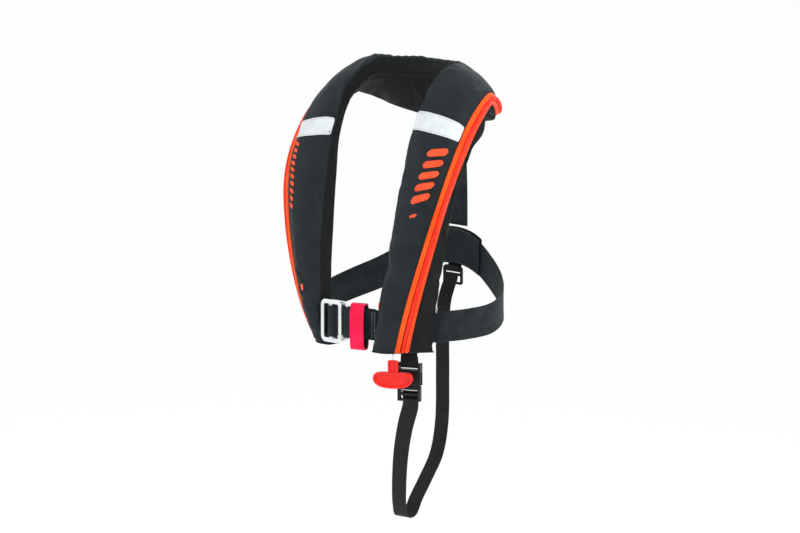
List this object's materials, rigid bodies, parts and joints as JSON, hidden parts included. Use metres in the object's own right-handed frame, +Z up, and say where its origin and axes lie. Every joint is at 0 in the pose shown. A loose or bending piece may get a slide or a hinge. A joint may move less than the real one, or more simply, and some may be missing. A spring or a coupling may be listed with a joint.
{
  "type": "inflatable life jacket",
  "caption": "Horseshoe inflatable life jacket: zipped fabric cover over a folded bladder and gas inflator, waist belt with slot-in metal buckle, crotch strap and pull handle.",
  "frame": {"origin": "middle of the neck opening at shoulder level, on the wearer's body axis", "axes": "+Z up along the wearer's body, -Y the way the wearer faces, +X the wearer's left"},
  "size_m": [0.3132, 0.267, 0.6715],
  "materials": {
    "outer_cover": "matt coated woven",
    "body_cover": "matt woven mesh-backed",
    "front_zip_tape": "woven tape",
    "rear_zip_tape": "woven tape",
    "zip_coil": "moulded coil",
    "reflective_tape_left": "retroreflective",
    "reflective_tape_right": "retroreflective",
    "left_end_panel": "matt woven",
    "right_end_panel": "matt woven",
    "bladder_pack": "coated fabric, folded",
    "waist_belt_left": "woven webbing",
    "waist_belt_right": "woven webbing",
    "front_buckle_frame": "tumbled",
    "rear_buckle_frame": "tumbled",
    "safety_loop": "woven webbing",
    "safety_loop_lining": "woven webbing",
    "gas_cylinder": "zinc plated",
    "inflator_body": "moulded",
    "manual_lever": "moulded",
    "firing_pin": "turned",
    "pin_spring": "wire",
    "water_sensor_cap": "moulded",
    "manifold_nut": "moulded",
    "status_clip": "moulded",
    "pull_cord": "braided",
    "pull_handle": "moulded",
    "oral_tube": "satin",
    "oral_valve_housing": "moulded",
    "oral_valve_stem": "moulded",
    "oral_dust_cap": "moulded",
    "whistle": "moulded",
    "whistle_ring": "wire",
    "lifting_loop": "woven webbing",
    "centre_back_webbing": "woven webbing",
    "yoke_outer_panel": "matt coated woven",
    "yoke_inner_panel": "matt woven",
    "rear_drop_webbing": "woven webbing",
    "rear_adjuster": "moulded",
    "crotch_stub_webbing": "woven webbing",
    "crotch_buckle_socket": "moulded",
    "crotch_buckle_plug": "moulded",
    "crotch_prong_left": "moulded",
    "crotch_prong_right": "moulded",
    "crotch_webbing": "woven webbing",
    "zip_slider": "cast",
    "zip_pull_tab": "cast",
    "orange_tab_left": "woven tape",
    "orange_tab_right": "woven tape",
    "white_tab_left": "woven tape"
  },
  "bodies": {
    "jacket": {"outer_cover": "outer_cover", "body_cover": "body_cover", "front_zip_tape": "front_zip_tape", "rear_zip_tape": "rear_zip_tape", "zip_coil": "zip_coil", "reflective_tape_left": "reflective_tape_left", "reflective_tape_right": "reflective_tape_right", "left_end_panel": "left_end_panel", "right_end_panel": "right_end_panel", "bladder_pack": "bladder_pack", "waist_belt_left": "waist_belt_left", "waist_belt_right": "waist_belt_right", "rear_buckle_frame": "rear_buckle_frame", "inflator_body": "inflator_body", "pin_spring": "pin_spring", "manifold_nut": "manifold_nut", "status_clip": "status_clip", "oral_tube": "oral_tube", "oral_valve_housing": "oral_valve_housing", "whistle": "whistle", "whistle_ring": "whistle_ring", "lifting_loop": "lifting_loop", "centre_back_webbing": "centre_back_webbing", "yoke_outer_panel": "yoke_outer_panel", "yoke_inner_panel": "yoke_inner_panel", "rear_drop_webbing": "rear_drop_webbing", "rear_adjuster": "rear_adjuster", "crotch_stub_webbing": "crotch_stub_webbing", "crotch_buckle_socket": "crotch_buckle_socket", "orange_tab_left": "orange_tab_left", "orange_tab_right": "orange_tab_right", "white_tab_left": "white_tab_left"},
    "handle": {"pull_handle": "pull_handle", "pull_cord": "pull_cord"},
    "lever": {"manual_lever": "manual_lever"},
    "pin": {"firing_pin": "firing_pin"},
    "buckle_tongue": {"front_buckle_frame": "front_buckle_frame"},
    "harness_loop": {"safety_loop": "safety_loop", "safety_loop_lining": "safety_loop_lining"},
    "crotch_lower": {"crotch_buckle_plug": "crotch_buckle_plug", "crotch_webbing": "crotch_webbing"},
    "prong_left": {"crotch_prong_left": "crotch_prong_left"},
    "prong_right": {"crotch_prong_right": "crotch_prong_right"},
    "sensor_cap": {"water_sensor_cap": "water_sensor_cap"},
    "bottle": {"gas_cylinder": "gas_cylinder"},
    "dust_cap": {"oral_dust_cap": "oral_dust_cap"},
    "valve_stem": {"oral_valve_stem": "oral_valve_stem"},
    "slider": {"zip_slider": "zip_slider"},
    "slider_tab": {"zip_pull_tab": "zip_pull_tab"}
  },
  "joints": [
    {"name": "handle_pull", "type": "slide", "parent": "jacket", "child": "handle", "axis": [0, 0, -1], "range_m": [0, 0.0155]},
    {"name": "lever_turn", "type": "hinge", "parent": "jacket", "child": "lever", "pos_m": [0.08072, -0.11724, -0.344], "axis": [0.421, -0.907, 0], "range_deg": [0, 65]},
    {"name": "pin_strike", "type": "slide", "parent": "jacket", "child": "pin", "axis": [0, 0, 1], "range_m": [0, 0.003], "deforming": ["pin_spring"]},
    {"name": "buckle_tilt", "type": "hinge", "parent": "jacket", "child": "buckle_tongue", "pos_m": [-0.0295, -0.1435, -0.335], "axis": [0, 0, 1], "range_deg": [-6, 3]},
    {"name": "loop_slide", "type": "slide", "parent": "jacket", "child": "harness_loop", "axis": [0.7455, 0.6665, 0], "range_m": [0, 0.008]},
    {"name": "crotch_release", "type": "slide", "parent": "jacket", "child": "crotch_lower", "axis": [0, 0, -1], "range_m": [0, 0.03]},
    {"name": "prong_press_left", "type": "hinge", "parent": "crotch_lower", "child": "prong_left", "pos_m": [0.08516, -0.08819, -0.4246], "axis": [0.3746, -0.9272, 0], "range_deg": [0, 8], "stiffness_Nm_per_rad": 0.05},
    {"name": "prong_press_right", "type": "hinge", "parent": "crotch_lower", "child": "prong_right", "pos_m": [0.06384, -0.09681, -0.4246], "axis": [-0.3746, 0.9272, 0], "range_deg": [0, 8], "stiffness_Nm_per_rad": 0.05},
    {"name": "cap_turn", "type": "hinge", "parent": "jacket", "child": "sensor_cap", "pos_m": [0.06469, -0.12688, -0.319], "axis": [0, 0, 1], "continuous": true},
    {"name": "bottle_turn", "type": "hinge", "parent": "jacket", "child": "bottle", "pos_m": [0.0835, -0.1215, -0.319], "axis": [0.1073, 0.0777, 0.9912], "continuous": true},
    {"name": "dust_cap_lift", "type": "slide", "parent": "jacket", "child": "dust_cap", "axis": [-0.0816, 0.1978, 0.9768], "range_m": [0, 0.016]},
    {"name": "valve_press", "type": "slide", "parent": "jacket", "child": "valve_stem", "axis": [0.0816, -0.1978, -0.9768], "range_m": [0, 0.0025], "stiffness_N_per_m": 150},
    {"name": "zip_slide", "type": "slide", "parent": "jacket", "child": "slider", "axis": [1, 0, 0], "range_m": [-0.01, 0.01]},
    {"name": "zip_tab_swing", "type": "hinge", "parent": "slider", "child": "slider_tab", "pos_m": [-0.003, 0.11618, -0.05854], "axis": [0, 0.0665, 0.9978], "range_deg": [0, 90]}
  ],
  "couplings": [
    {"joint": "lever_turn", "follows": "handle_pull", "rad_per_m": 73},
    {"joint": "pin_strike", "follows": "handle_pull", "ratio": 0.19},
    {"joint": "prong_press_right", "follows": "prong_press_left", "ratio": 1}
  ]
}
